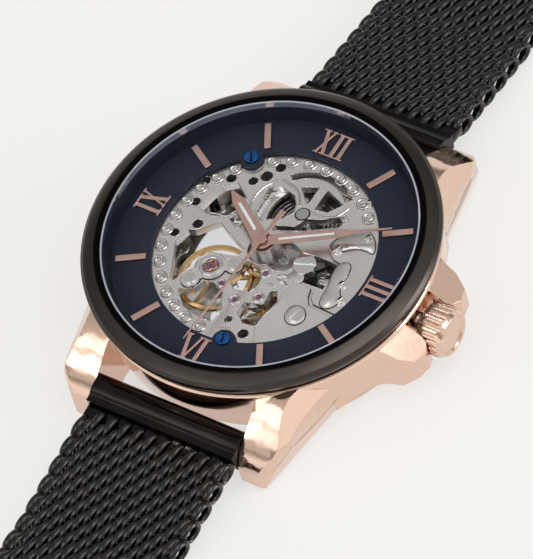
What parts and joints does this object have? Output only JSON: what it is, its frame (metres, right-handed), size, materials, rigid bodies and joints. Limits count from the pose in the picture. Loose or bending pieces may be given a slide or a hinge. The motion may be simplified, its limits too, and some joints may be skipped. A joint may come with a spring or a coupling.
{
  "type": "skeleton wristwatch",
  "caption": "Automatic skeleton wristwatch with a round case, working hands, gear train, winding crown and rotor, on a woven steel mesh strap with a sliding clasp.",
  "frame": {"origin": "middle of the case-back rest face, on the dial's axis", "axes": "+Z out of the dial, +Y towards 12 o'clock along the strap, +X towards 3 o'clock along the crown's stem"},
  "size_m": [0.0457, 0.2085, 0.0121],
  "materials": {
    "rose_gold": "polished rose-gold plated steel",
    "black_pvd": "black coated steel, satin and gloss",
    "sapphire": "clear, coated",
    "gasket": "translucent white",
    "navy_dial": "dark navy, fine brushed",
    "rose_satin": "satin rose gold",
    "blued_steel": "blued, polished",
    "rhodium": "rhodium plated, satin",
    "steel": "fine brushed steel",
    "steel_polished": "polished steel",
    "gilt": "gilt brass",
    "ruby": "synthetic ruby, polished",
    "black_mesh": "black coated woven steel wire",
    "black_polished": "black coated, polished"
  },
  "bodies": {
    "case": {"mid_case": "rose_gold", "bezel": "black_pvd", "crystal": "sapphire", "gaskets": "gasket", "inner_flange": "navy_dial", "case_back": "rose_gold", "back_window": "sapphire", "crown_tube": "steel", "spring_bars": "steel", "dial": "navy_dial", "dial_screws": "blued_steel", "applied_markers": "rose_satin", "main_plate": "rhodium", "keyless_cover": "rhodium", "balance_bridge": "rhodium", "back_bridge": "rhodium", "balance_cock": "rhodium", "movement_ring": "rhodium", "jewels": "ruby", "movement_screws": "steel_polished", "rotor_bearing": "steel"},
    "winding_pinion": {"winding_pinion": "steel"},
    "crown": {"crown": "rose_gold", "stem": "steel"},
    "clutch": {"sliding_clutch": "steel"},
    "setting_lever": {"setting_lever": "steel"},
    "crown_wheel": {"crown_wheel": "steel"},
    "ratchet": {"ratchet_wheel": "steel", "barrel_arbor": "steel"},
    "barrel": {"barrel": "steel", "mainspring": "steel"},
    "minute": {"centre_wheel": "gilt", "cannon_pinion": "steel", "minute_hand": "rose_satin"},
    "third": {"third_wheel": "gilt"},
    "fourth": {"fourth_wheel": "gilt"},
    "escape": {"escape_wheel": "steel"},
    "pallet": {"pallet_fork": "steel"},
    "balance": {"balance_wheel": "gilt", "hairspring": "steel"},
    "seconds": {"seconds_pinion": "steel", "seconds_hand": "rose_satin"},
    "minute_wheel": {"minute_wheel": "steel"},
    "hour": {"hour_wheel": "steel", "hour_hand": "rose_satin"},
    "setting_wheel": {"setting_wheel": "steel"},
    "rotor": {"rotor": "rhodium"},
    "strap_12a": {"strap_end_12": "black_polished", "mesh_12a": "black_mesh"},
    "strap_12b": {"mesh_12b": "black_mesh"},
    "strap_12c": {"mesh_12c": "black_mesh", "hook_bar": "black_polished"},
    "strap_6a": {"strap_end_6": "black_polished", "mesh_6a": "black_mesh"},
    "strap_6b": {"mesh_6b": "black_mesh"},
    "strap_6c": {"mesh_6c": "black_mesh"},
    "strap_6d": {"mesh_6d": "black_mesh"},
    "clasp": {"clasp_housing": "black_polished"},
    "clasp_lever": {"clasp_lever": "black_polished"},
    "clasp_flap": {"clasp_flap": "black_polished"}
  },
  "joints": [
    {"name": "seconds_turn", "type": "hinge", "parent": "case", "child": "seconds", "pos_m": [0, 0, 0], "axis": [0, 0, 1], "continuous": true},
    {"name": "third_turn", "type": "hinge", "parent": "case", "child": "third", "pos_m": [0.0018, -0.0028, 0], "axis": [0, 0, 1], "continuous": true},
    {"name": "minute_turn", "type": "hinge", "parent": "case", "child": "minute", "pos_m": [0, 0, 0], "axis": [0, 0, 1], "continuous": true},
    {"name": "fourth_turn", "type": "hinge", "parent": "case", "child": "fourth", "pos_m": [0.00279, -0.00598, 0], "axis": [0, 0, 1], "continuous": true},
    {"name": "escape_turn", "type": "hinge", "parent": "case", "child": "escape", "pos_m": [0.0004, -0.0074, 0], "axis": [0, 0, 1], "continuous": true},
    {"name": "barrel_turn", "type": "hinge", "parent": "case", "child": "barrel", "pos_m": [0.0014, 0.006, 0], "axis": [0, 0, 1], "continuous": true},
    {"name": "minute_wheel_turn", "type": "hinge", "parent": "case", "child": "minute_wheel", "pos_m": [0.0024, 0, 0], "axis": [0, 0, 1], "continuous": true},
    {"name": "hour_turn", "type": "hinge", "parent": "case", "child": "hour", "pos_m": [0, 0, 0], "axis": [0, 0, 1], "continuous": true},
    {"name": "setting_wheel_turn", "type": "hinge", "parent": "case", "child": "setting_wheel", "pos_m": [0.0054, 0, 0], "axis": [0, 0, 1], "continuous": true},
    {"name": "crown_turn", "type": "hinge", "parent": "case", "child": "winding_pinion", "pos_m": [0.0097, 0, 0.00585], "axis": [1, 0, 0], "continuous": true},
    {"name": "crown_wheel_turn", "type": "hinge", "parent": "case", "child": "crown_wheel", "pos_m": [0.0071, 0, 0], "axis": [0, 0, 1], "continuous": true},
    {"name": "ratchet_turn", "type": "hinge", "parent": "case", "child": "ratchet", "pos_m": [0.0014, 0.006, 0], "axis": [0, 0, 1], "continuous": true},
    {"name": "crown_pull", "type": "slide", "parent": "winding_pinion", "child": "crown", "axis": [1, 0, 0], "range_m": [0, 0.0008]},
    {"name": "clutch_slide", "type": "slide", "parent": "winding_pinion", "child": "clutch", "axis": [1, 0, 0], "range_m": [-0.00061, 0]},
    {"name": "setting_lever_turn", "type": "hinge", "parent": "case", "child": "setting_lever", "pos_m": [0.01145, -0.0029, 0.0068], "axis": [0, 0, -1], "range_deg": [0, 16.2]},
    {"name": "pallet_rock", "type": "hinge", "parent": "case", "child": "pallet", "pos_m": [-0.0022, -0.006, 0.005], "axis": [0, 0, 1], "range_deg": [-6, 6]},
    {"name": "balance_swing", "type": "hinge", "parent": "case", "child": "balance", "pos_m": [-0.0045, -0.0046, 0.0056], "axis": [0, 0, 1], "range_deg": [-270, 270], "stiffness_Nm_per_rad": 0.0000003},
    {"name": "rotor_turn", "type": "hinge", "parent": "case", "child": "rotor", "pos_m": [0, 0, 0.002], "axis": [0, 0, 1], "continuous": true},
    {"name": "strap_12_pivot", "type": "hinge", "parent": "case", "child": "strap_12a", "pos_m": [0, 0.0223, 0.0042], "axis": [-1, 0, 0], "range_deg": [-8, 50]},
    {"name": "strap_12_bend_1", "type": "hinge", "parent": "strap_12a", "child": "strap_12b", "pos_m": [0, 0.04, 0.00145], "axis": [-1, 0, 0], "range_deg": [-8, 40]},
    {"name": "strap_12_bend_2", "type": "hinge", "parent": "strap_12b", "child": "strap_12c", "pos_m": [0, 0.06, 0.00145], "axis": [-1, 0, 0], "range_deg": [-8, 40]},
    {"name": "strap_6_pivot", "type": "hinge", "parent": "case", "child": "strap_6a", "pos_m": [0, -0.0223, 0.0042], "axis": [1, 0, 0], "range_deg": [-8, 50]},
    {"name": "strap_6_bend_1", "type": "hinge", "parent": "strap_6a", "child": "strap_6b", "pos_m": [0, -0.04, 0.00145], "axis": [1, 0, 0], "range_deg": [-8, 40]},
    {"name": "strap_6_bend_2", "type": "hinge", "parent": "strap_6b", "child": "strap_6c", "pos_m": [0, -0.06, 0.00145], "axis": [1, 0, 0], "range_deg": [-8, 40]},
    {"name": "strap_6_bend_3", "type": "hinge", "parent": "strap_6c", "child": "strap_6d", "pos_m": [0, -0.082, 0.0024], "axis": [1, 0, 0], "range_deg": [-8, 40]},
    {"name": "clasp_slide", "type": "slide", "parent": "strap_6d", "child": "clasp", "axis": [0, 1, 0], "range_m": [-0.004, 0.012]},
    {"name": "clasp_lever_open", "type": "hinge", "parent": "clasp", "child": "clasp_lever", "pos_m": [0, -0.1176, 0.00455], "axis": [1, 0, 0], "range_deg": [0, 70]},
    {"name": "clasp_flap_open", "type": "hinge", "parent": "clasp", "child": "clasp_flap", "pos_m": [0, -0.108, 0.00535], "axis": [1, 0, 0], "range_deg": [0, 110]}
  ],
  "couplings": [
    {"joint": "third_turn", "follows": "seconds_turn", "ratio": -0.13333},
    {"joint": "minute_turn", "follows": "seconds_turn", "ratio": 0.016667},
    {"joint": "fourth_turn", "follows": "seconds_turn", "ratio": 1},
    {"joint": "escape_turn", "follows": "seconds_turn", "ratio": -12},
    {"joint": "barrel_turn", "follows": "seconds_turn", "ratio": -0.0021368},
    {"joint": "minute_wheel_turn", "follows": "seconds_turn", "ratio": -0.0055556},
    {"joint": "hour_turn", "follows": "seconds_turn", "ratio": 0.0013889},
    {"joint": "setting_wheel_turn", "follows": "seconds_turn", "ratio": 0.0083333},
    {"joint": "crown_wheel_turn", "follows": "crown_turn", "ratio": 0.45714},
    {"joint": "ratchet_turn", "follows": "crown_turn", "ratio": -0.23529},
    {"joint": "clutch_slide", "follows": "crown_pull", "ratio": -0.75},
    {"joint": "setting_lever_turn", "follows": "crown_pull", "rad_per_m": 344.75}
  ]
}
